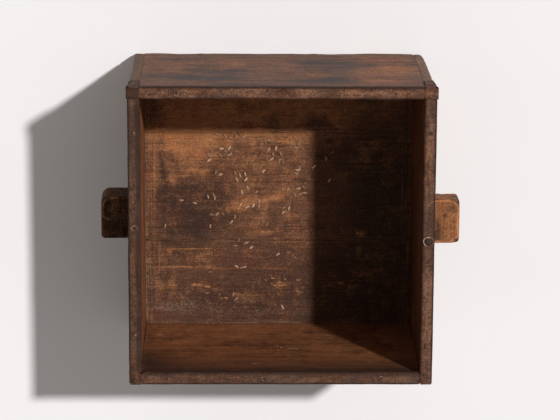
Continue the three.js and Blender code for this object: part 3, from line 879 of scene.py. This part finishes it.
def grip_marks(points, low, high, shape, seed):
    """Which points are on a grip's upper face, the worn ring and the groove there, and dark corners below."""
    noise = layered_noise(points, 12, seed)
    dashes = layered_noise(points, 5, seed + 3, 2)
    from_outer, from_end = grip_edges(points, low, high)
    from_arris = np.minimum(from_outer, from_end)
    upper = unit((points[:, 2] - high[2] + ARRIS) / 0.4)
    rear_half = unit((points[:, 1] - (low[1] + high[1]) / 2 + 3) / 5)
    ring = np.exp(-((from_arris - RING_PLACE - 0.5 * noise)) ** 2) * unit(1 + 0.6 * noise)
    groove = np.exp(-((from_outer - GROOVE_PLACE - 1.2 * noise) / 1.1) ** 2)
    groove *= unit(0.35 + 1.5 * dashes)
    near_corner = corner_radius(points, low, high, shape) + 1 - np.maximum(from_outer, from_end)
    fading = unit(1.1 - (high[2] - points[:, 2]) / 30 + 0.8 * noise)
    below = (1 - upper) * unit(near_corner / 2.5 + 0.4 * dashes) * fading
    return upper, upper * ring, upper * groove * rear_half, below


def build_grips():
    for index, (place, shape) in enumerate(GRIP_SHAPES.items()):
        name = "grip_" + place
        low, high = box(name)
        low[1] += shape["short"][0]
        high[1] -= shape["short"][1]
        seed = 70 + index

        def carved(flat):
            return GROOVE_DEPTH * grip_marks(flat, low, high, shape, seed)[2]

        piece = worn_block(name + "_block", low, high, 1.0, 1.4, 1.6, 51 + index, 12, 0.5, carved)
        points = points_of(piece)
        upper, ring, groove, below = grip_marks(points, low, high, shape, seed)
        noise = layered_noise(points, 12, seed)
        by_wall = near(points[:, 0], np.sign(low[0]) * OUTSIDE_X, 7)
        blotch = unit(layered_noise(points, 9, 90 + index) - 0.25)
        shape_grip(piece, low, high, shape)
        x, y = points_of(piece)[:, :2].T
        if place == "left":
            look = GRIP_DARK_LOOK
            hook = upper * patches(x, y, GRIP_HOOK)
            rear_half = np.clip((y - low[1] - 26) / 4, 0.35, 1)
            bright = 0.2 + 0.3 * noise - 0.4 * groove + 0.5 * hook
            rubbed = 1.5 * ring * rear_half + 1.3 * hook
            # 0.5 * (1 - upper) darkens every face of the left grip but the upper one: painted shade, as the
            # grip lies in the box's shadow
            grime = 0.3 * (0.1 + by_wall + 0.3 * noise + blotch) + groove + 0.5 * (1 - upper)
        else:
            look = GRIP_LOOK
            shade = upper * patches(x, y, GRIP_SHADE)
            bright = 0.45 + 0.4 * noise + 0.6 * ring - 1.2 * groove - 1.2 * below - 0.6 * shade
            rubbed = 1.5 * ring
            grime = 0.1 + by_wall + 0.3 * noise + 1.4 * groove + 1.2 * below + blotch + shade
        store(piece, grime=unit(grime), bright=np.clip(bright, 0, 1.2), rubbed=rubbed)
        shift = (4.1 * index, 2.2, 6.5 * index)
        paint(piece, wood("wood_" + name, "y", look, shift), "grip_wood", name)


# Iron strips of the rim

# Each strip's turn about Z, place, whether its ends lap over its neighbours, how far its roll over the
# inner edge reaches, how far its tabs stand out, how light it is, how much its grit shows, and how dark
# its first corner is
Strip = namedtuple("Strip", "turn place laps roll outset shade grit corner")
STRIPS = {
    "rear": Strip(0, (0, OUTSIDE_Y), (True, True), 2.0, LAP_RISE, 0.99, 0.85, 0.55),
    "front": Strip(180, (0, -OUTSIDE_Y), (False, False), 2.0, 0, 0.82, 0.72, 0),
    "left": Strip(90, (-OUTSIDE_X, 0), (True, False), 4.4, 0, 0.76, 0.6, 0),
    "right": Strip(-90, (OUTSIDE_X, 0), (False, True), 1.8, 0, 0.95, 0.72, 0),
}
# Colours of the rust: its tones, its flecks where it is rubbed, and its bends and edges
RIM_TONES = np.array(((56, 36, 29), (98, 67, 52), (134, 96, 76)))
RIM_FLECK = np.array((150, 112, 88))
RIM_EDGE = (46, 31, 26)
COLUMN_STEP = 1.5  # between stations along the channel
OUTER_BEND = 1.2  # radius of the bend over the outer edge
TAB_BEND = 1.5  # radius of the bend down into a tab
LIP_REST = 1.6  # where the lips stop short of the corner
ROLL_DROP = 2.4  # how far down a roll reaches at most


def bend(*angles):
    """The outward and upward share of a direction at each angle of a bend, in degrees."""
    return [(math.sin(angle), math.cos(angle)) for angle in np.radians(angles)]


def run_stations(half_run, half_inside, laps, outset):
    """Stations from the middle of a strip to the foot of its tab.

    Each is a place along the run, a height, the outward direction in both, how much it belongs to the
    corner, and how far down its tab it is."""
    channel_end = half_inside - LIP_REST
    top = IRON_TOP + (LAP_RISE if laps else 0)
    tab_face = half_run + IRON_TOP + outset
    rows = [(x, IRON_TOP, 0, 1, 0, 0) for x in np.arange(COLUMN_STEP / 2, channel_end - 1, COLUMN_STEP)]
    rows.append((channel_end, IRON_TOP, 0, 1, 0, 0))
    rows.append((half_inside - 0.3, top, 0, 1, 1, 0))
    for x in np.linspace(half_inside + 1, tab_face - TAB_BEND, 8):
        rows.append((x, top, 0, 1, 1, 0))
    for out, up in bend(22, 45, 68, 90):
        rows.append((tab_face - TAB_BEND * (1 - out), top - TAB_BEND * (1 - up), out, up, 1, 0))
    tab_end = TAB_LENGTH + top - TAB_BEND
    for down in np.linspace(1.5, tab_end, 20):
        pressed = outset * unit((down - 7) / 6)
        rows.append((tab_face - pressed, top - TAB_BEND - down, 1, 0, 1, down / tab_end))
    return rows


def section_stations(roll):
    """Stations across a strip, from its outer lip to its inner one.

    Each is a place across, a height below the band, the outward direction in both, the share across the
    flat band or -1, and how far down a lip it is."""
    outer, inner = IRON_TOP, -WALL - IRON_TOP
    roll_drop = min(roll, ROLL_DROP)
    rows = [(outer, -OUTER_BEND - (OUTER_LIP + 0.1) * s, 1, 0, -1, s) for s in (1, 0.7, 0.4, 0.15)]
    for out, up in bend(90, 60, 30):
        rows.append((outer - OUTER_BEND * (1 - out), -OUTER_BEND * (1 - up), out, up, -1, 0))
    start, stop = outer - OUTER_BEND, inner + roll
    for share in np.linspace(0, 1, 10):
        rows.append((start + share * (stop - start), 0, 0, 1, share, 0))
    for out, up in bend(18, 36, 54, 72, 90):
        rows.append((stop - roll * out, -roll_drop * (1 - up), -out, up, -1, 0))
    lip = INNER_LIP + IRON_TOP - roll_drop
    return rows + [(inner, -roll_drop - lip * s, -1, 0, -1, s) for s in (0.3, 0.65, 1)]


def build_strip(name, strip, seed):
    """A strip as one sheet of iron folded over a wall and down at both ends, with uneven edges."""
    along_x = strip.turn in (0, 180)
    half_run, half_inside = (OUTSIDE_X, INSIDE_X) if along_x else (OUTSIDE_Y, INSIDE_Y)
    halves = [np.array(run_stations(half_run, half_inside, laps, strip.outset)) for laps in strip.laps]
    halves[0][:, [0, 2]] *= -1
    run = np.concatenate([halves[0][::-1], halves[1]])
    section = np.array(section_stations(strip.roll))
    x, z, out_x, up_x, corner, down = (column[:, None] for column in run.T)
    y, drop, out_y, up_y, share, lip = (column[None, :] for column in section.T)
    flat = share >= 0
    taper = 1 - 0.10 * down ** 3
    tab_y = (0.1 - (WALL + 0.3) * unit(share) + WALL / 2) * taper - WALL / 2
    across = np.where(flat, y + corner * (tab_y - y), y)
    directions = np.where(flat, out_x, 0), np.where(flat, 0, out_y), np.where(flat, up_x, up_y)
    normal = np.stack(np.broadcast_arrays(*directions), axis=-1)
    upper = np.stack(np.broadcast_arrays(x, across, z + np.where(flat, 0, drop)), axis=-1)
    shape = across.shape

    flat_points = upper.reshape(-1, 3) + np.array([0, 0, 40.0 * seed])
    waves = layered_noise(flat_points, 26, seed).reshape(shape)
    ripple = layered_noise(flat_points, 11, seed + 7).reshape(shape)
    outer_rows = (y > IRON_TOP - 2 * OUTER_BEND) & ~flat | (share == 0)
    inner_rows = (y < -WALL / 2) & ~flat | (share == 1)
    upper = upper + normal * (0.13 * waves)[..., None] * (1 - lip)[..., None]
    upper[..., 1] += np.where(outer_rows, 0.14 * ripple, 0) * (1 - corner)
    upper[..., 1] += np.where(inner_rows, 0.35 * (ripple + 0.4), 0) * (1 - corner)
    from_middle = np.where(flat, np.abs(2 * share - 1), 0)
    upper[..., 1] += 0.35 * ripple * corner * from_middle ** 3
    upper[..., 2] += 0.7 * ripple * (lip + down ** 4)
    lower = upper - IRON * normal

    reach = np.abs(run[:, 0])
    in_channel = reach <= half_inside - LIP_REST + 0.01
    ends = np.where(run[:, 0] < 0, strip.laps[0], strip.laps[1])
    runs_under = (not along_x) & ~ends & (reach <= half_run - 2)
    under_or_in = in_channel | runs_under
    columns = in_channel[:-1] & in_channel[1:]
    outer_columns = under_or_in[:-1] & under_or_in[1:]
    is_band = (section[:-1, 4] >= 0) & (section[1:, 4] >= 0)
    is_outer = section[1:, 0] > -WALL / 2
    present = is_band[None, :] | np.where(is_outer[None, :], outer_columns[:, None], columns[:, None])
    faces = sheet_faces(present)

    used, index = np.unique(faces, return_inverse=True)
    both = np.concatenate([upper.reshape(-1, 3), lower.reshape(-1, 3)])[used]
    angle = math.radians(strip.turn)
    cosine, sine = math.cos(angle), math.sin(angle)
    turn = np.array(((cosine, -sine, 0), (sine, cosine, 0), (0, 0, 1)))
    vertices = both @ turn.T + np.array([*strip.place, WALL_TOP])
    piece = mesh_object("rim_strip_" + name + "_sheet", vertices, index.reshape(faces.shape), crease=50)

    edge = (np.where(outer_rows, 1.0, 0) + np.where(inner_rows, 0.6, 0)) * (1 - corner)
    edge = edge + corner * from_middle ** 4 * 0.6 + 0.4 * down
    dark = unit(edge + strip.corner * corner * (x < 0))
    middle = unit(1.5 - 2.2 * np.abs(share - 0.45)) * flat * (1 - down)
    rubbed = unit(middle * (0.75 + 0.35 * waves) - 0.4 * corner)
    dark, rubbed = (np.tile(amounts.reshape(-1), 2)[used] for amounts in (dark, rubbed))
    store(piece, dark=dark, rubbed=rubbed)
    return piece


def build_strips():
    for index, (name, strip) in enumerate(STRIPS.items()):
        piece = build_strip(name, strip, 21 + index)
        shift = (3.7 * index, 2.9 * index, index)
        along = "x" if name in ("rear", "front") else "y"
        colours = RIM_TONES * strip.shade, RIM_FLECK * strip.shade, RIM_EDGE
        iron = rusted_iron("iron_" + name, *colours, shift, along=along, gritty=strip.grit)
        paint(piece, iron, "rim_iron", "rim_strip_" + name)


# Nails and pegs

STUD_TONES = ((56, 44, 41), (82, 64, 58), (114, 91, 81))
# How far a nail goes in below its head, its radius there, and how high the heads stand
HIDDEN_LENGTH = 30
HIDDEN_RADIUS = 1.2
RIM_HEAD = 1.4
TAB_HEAD = 0.9
STUD_HEAD = 1.8
TAB_RING, TAB_RADIUS = 2.9, 2.1  # of the rust ring and the head of a tab's nail
LARGEST_HEAD = 2.3  # radius of the largest head of a rim nail
PEG_SIDES = 16
PEG_RIM = (3, 4)  # rows of a peg's profile that are dirty
# Radius of the rust ring round each rim nail, and the nails whose heads are worn down to dark stubs
RING_RADIUS = {
    "rear": (3.2, 3.2, 2.4), "right": (2.9, 6.0, 2.6), "left": (3.2, 3.9, 2.4), "front": (2.6, 3.2, 3.0),
}
WORN_DOWN = ("rear_1", "rear_3", "right_3", "left_2", "front_3", "front_2")


def driven(name, profile, marks, material, slot, seed, sides=20, wobble=0.13, least=0.55):
    """A turned piece in the place of a nail or peg node; its outer end is at height 0 of the profile.

    marks gives the dark, the rubbed and perhaps the grime amount of each row of the profile."""
    low, high = box(name)
    middle, size = (low + high) / 2, high - low
    axis = int(np.argmax(size))
    outward = np.zeros(3)
    outward[axis] = 1.0 if axis == 2 else np.sign(middle[axis])
    if name.startswith("grip_peg"):
        outward = -outward
    face = middle + outward * size[axis] / 2
    vertices, faces = turned(profile, sides, wobble, seed)
    turn = np.array(Vector((0, 0, 1)).rotation_difference(Vector(outward)).to_matrix())
    piece = mesh_object(name + "_made", vertices @ turn.T + face, faces, crease=60)
    angles = np.arange(sides) * 2 * math.pi / sides
    uneven = np.clip(0.8 + 0.5 * np.cos(angles + 2.3 * seed), least, 1)
    for kind, amounts in zip(("dark", "rubbed", "grime"), zip(*marks)):
        rings = np.outer(amounts[1:-1], uneven if kind == "rubbed" else np.ones(sides))
        store(piece, **{kind: [amounts[0], *rings.reshape(-1), amounts[-1]]})
    paint(piece, material, slot, name)


def shank(under):
    """The hidden part of a nail, from its point up to just below its head."""
    point, radius = under - HIDDEN_LENGTH, HIDDEN_RADIUS
    return [(0, point), (0.3 * radius, point + 4), (radius, point + 8), (radius, under - 1)]


def nail_profile(head_height, ring, is_worn, radius):
    """A nail with its head on a low ring of rust; its top is at height 0."""
    under = -head_height
    hidden = shank(under) + [(0.9 * ring, under - 0.3), (ring, under + 0.06), (0.9 * ring, under + 0.28)]
    hidden_marks = [(0.3, 0)] * 5 + [(0.5, 0), (0.1, 0.7)]
    if is_worn:
        head = [(0.72 * ring, under + 0.5), (0.5 * ring, under + 0.34), (0.42 * ring, under + 0.16)]
        head.append((0, under + 0.14))
        return hidden + head, hidden_marks + [(0, 1.0), (0.4, 0.2), (0.8, 0), (0.6, 0)]
    head = [(radius, under + 0.3), (radius, 0.45 * under), (0.66 * radius, 0.14 * under), (0, 0)]
    return hidden + head, hidden_marks + [(0.9, 0), (0.25, 0.6), (0, 0.8), (0, 0.9)]


def stud_profile(head_height):
    """A broad dark disc inside a light raised ring."""
    under = -head_height
    hidden = shank(under) + [(5.7, under - 0.3)]
    head = [(5.8, under + 0.7), (5.4, under + 1.2), (4.7, under + 1.25), (4.25, under + 0.75)]
    head += [(4.0, under + 0.85), (3.0, 0.2 * under), (1.4, -0.05), (0, 0)]
    hidden_marks = [(0.3, 0)] * 4 + [(0.8, 0)]
    head_marks = [(0.3, 0.8), (0, 1.0), (0, 1.0), (1, 0), (0.9, 0), (0.75, 0), (0.6, 0.1), (0.6, 0.1)]
    return hidden + head, hidden_marks + head_marks


def build_nails():
    nail_iron = rusted_iron("nail_iron", RIM_TONES, (172, 132, 108), RIM_EDGE, (3, 7, 1), 0.85)
    stud_iron = rusted_iron("stud_iron", STUD_TONES, (196, 166, 136), (48, 37, 34), (2, 5, 1), 0.9)
    for seed, name in enumerate(sorted(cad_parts)):
        if name.startswith("rim_stud"):
            driven(name, *stud_profile(STUD_HEAD), stud_iron, "nail_iron", seed, 32, 0.04, 0.6)
        elif name.startswith("rim_nail"):
            place, number = name.split("_")[2:]
            ring = RING_RADIUS[place][int(number) - 1]
            is_worn = f"{place}_{number}" in WORN_DOWN
            profile = nail_profile(RIM_HEAD, ring, is_worn, min(LARGEST_HEAD, 0.7 * ring))
            driven(name, *profile, nail_iron, "nail_iron", seed)
        elif name.startswith("tab_nail"):
            profile = nail_profile(TAB_HEAD, TAB_RING, False, TAB_RADIUS)
            driven(name, *profile, nail_iron, "nail_iron", seed)


def build_pegs():
    look = dict(WALL_LOOK, outer=((70, 48, 36), (112, 80, 60), (146, 108, 82)))
    peg_wood = wood("peg_wood", "x", look, (1, 4, 2))
    for seed, name in enumerate(sorted(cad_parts)):
        if "_peg_" not in name:
            continue
        low, high = box(name)
        length = (high - low).max()
        profile = [(0, -length), (1.6, 0.4 - length), (2.1, 3 - length), (2.2, -0.5), (2.05, -0.12)]
        profile += [(1.3, 0), (0.5, -0.1), (0, -0.06)]
        marks = [(0, 0, float(row in PEG_RIM)) for row in range(len(profile))]
        driven(name, profile, marks, peg_wood, "peg_wood", seed, PEG_SIDES, 0.04)


# Grain husks stuck to the bottom

# Groups of them: centre, spread along X and Y, and how many
HUSK_GROUPS = (
    (-55, 70, 15, 2.5, 6), (-14, 58, 2.5, 6, 4), (-66, 51, 10, 4, 7), (-3, 47, 5, 7, 6),
    (-84, 43, 7, 4, 3), (-71, 27, 5, 2, 2), (-18, 29, 2, 1, 2), (-40, 23, 9, 4, 5), (23, 56, 4, 5, 3),
    (22, 30, 3, 4, 3), (-34, 6, 9, 4, 3), (-76, -1, 6, 2, 3), (-112, -4, 24, 6, 2), (-36, -11, 12, 4, 6),
    (-68, -21, 7, 2, 3), (-53, -28, 3, 3, 2), (9, -17, 3, 3, 3), (18, 6, 10, 5, 6), (-80, -36, 4, 1, 1),
    (-127, -35, 3, 1, 1), (-17, -34, 3, 3, 2), (-40, -57, 8, 7, 4), (1, -68, 2, 2, 1),
    (-44, -84, 7, 1, 3), (-77, -91, 2, 2, 1), (50, 35, 10, 20, 4), (-20, -120, 60, 12, 3),
)
HUSK_SPACE = 5.5  # least distance between two husks, if a free place is found in so many tries
HUSK_TRIES = 30
HUSK_DEPTH = 0.25  # how far they are pressed into the wood
HUSK_SIDES = 10
HUSK_RINGS = (-0.93, -0.75, -0.45, 0, 0.45, 0.75, 0.93)  # places of its rings along half its length


def husk(rng):
    """Vertices and faces of one ribbed grain husk that lies along X on z = 0."""
    length, width, height = rng.uniform(2.6, 3.3), rng.uniform(1.1, 1.4), rng.uniform(0.5, 0.65)
    bow = rng.uniform(-0.35, 0.35)
    angles = np.arange(HUSK_SIDES) * 2 * math.pi / HUSK_SIDES
    rib = 1 + 0.12 * np.cos(5 * angles)
    vertices = [(-length, bow, height)]
    for share in HUSK_RINGS:
        girth = (1 - share * share) ** 0.6 * rib
        across = bow * share * share + width * girth * np.cos(angles)
        up = height + height * girth * np.sin(angles)
        vertices += [(length * share, y, z) for y, z in zip(across, up)]
    vertices.append((length, bow, height))
    return np.array(vertices), capped_faces(HUSK_SIDES, len(HUSK_RINGS))


def free_place(rng, places, middle, spread):
    """A place in a group that is clear of the other husks, if one is soon found."""
    for _ in range(HUSK_TRIES):
        place = np.array(middle) + rng.uniform(-1.2, 1.2, 2) * spread
        if all(np.hypot(*(place - other)) > HUSK_SPACE for other in places):
            break
    return place


def build_husks():
    rng = np.random.RandomState(7)
    vertices, faces, tones, places, start = [], [], [], [], 0
    for x, y, spread_x, spread_y, count in HUSK_GROUPS:
        for _ in range(count):
            shape, quads = husk(rng)
            turn, tilt = rng.uniform(0, 2 * math.pi), rng.uniform(-0.08, 0.08)
            place = free_place(rng, places, (x, y), (spread_x, spread_y))
            places.append(place)
            matrix = np.array(Matrix.Rotation(turn, 3, "Z") @ Matrix.Rotation(tilt, 3, "Y"))
            vertices.append(shape @ matrix.T + np.array([*place, BOTTOM_TOP - HUSK_DEPTH]))
            faces += [tuple(start + k for k in quad) for quad in quads]
            # Husks on darker patches of the bottom are darker, so those in the painted shade over the right
            # wall's shadow are darker too
            dirt = unit(patches(place[:1], place[1:], BOTTOM_DIRT_AND_SHADE)[0])
            tones += [rng.uniform(0, 0.9) * (1 - 0.4 * dirt)] * len(shape)
            start += len(shape)
    piece = mesh_object("grain_husks", np.concatenate(vertices), faces)
    store(piece, tone=tones)
    paint(piece, husk_straw(), None)


# Stage, light and camera

FLOOR_HEIGHT = -0.2  # just clear of the underside
FLOOR_REACH = 6000  # from its middle to each edge


def build_stage():
    sides = ((-1, -1), (1, -1), (1, 1), (-1, 1))
    corners = [(x * FLOOR_REACH, y * FLOOR_REACH, FLOOR_HEIGHT) for x, y in sides]
    floor = mesh_object("floor", corners, [(0, 1, 2, 3)], smooth=False)
    n = Nodes("floor_paint")
    plain = n.noise(n.place(EVEN), 0.6, 2)
    colour = n.ramp(plain, [(0.3, (239, 239, 242)), (0.7, (241, 241, 244))])
    roughness = n.ramp(plain, [(0.3, 0.88), (0.7, 0.92)])
    floor.data.materials.append(n.finish(colour, roughness, n.bump(plain, 0.1, 0.1), specular=0.1))


def build_light():
    sun = bpy.data.lights.new("key", "SUN")
    sun.energy = SUN_STRENGTH
    sun.angle = SUN_ANGLE
    sun.color = SUN_COLOUR
    linked("key", sun).rotation_euler = SUN_TRAVEL.to_track_quat("-Z", "Y").to_euler()
    world = bpy.data.worlds.new("studio")
    world.use_nodes = True
    background = world.node_tree.nodes["Background"]
    background.inputs["Color"].default_value = (*SKY_COLOUR, 1)
    background.inputs["Strength"].default_value = SKY_STRENGTH
    bpy.context.scene.world = world


def build_camera():
    data = bpy.data.cameras.new("camera")
    data.sensor_width = SENSOR
    data.lens = FOCAL_PIXELS * SENSOR / IMAGE_WIDTH
    data.clip_end = 50
    camera = linked("camera", data)
    turn = Matrix.Rotation(-CAMERA_YAW, 4, "Y") @ Matrix.Rotation(-CAMERA_PITCH, 4, "X")
    camera.matrix_world = Matrix.Translation(CAMERA_PLACE) @ turn @ Matrix.Rotation(CAMERA_ROLL, 4, "Z")
    bpy.context.scene.camera = camera


build_walls()
build_bottom()
build_grips()
build_strips()
build_nails()
build_pegs()
build_husks()
build_stage()
build_light()
build_camera()
bpy.context.scene.view_settings.view_transform = "Standard"

bpy.context.view_layer.update()
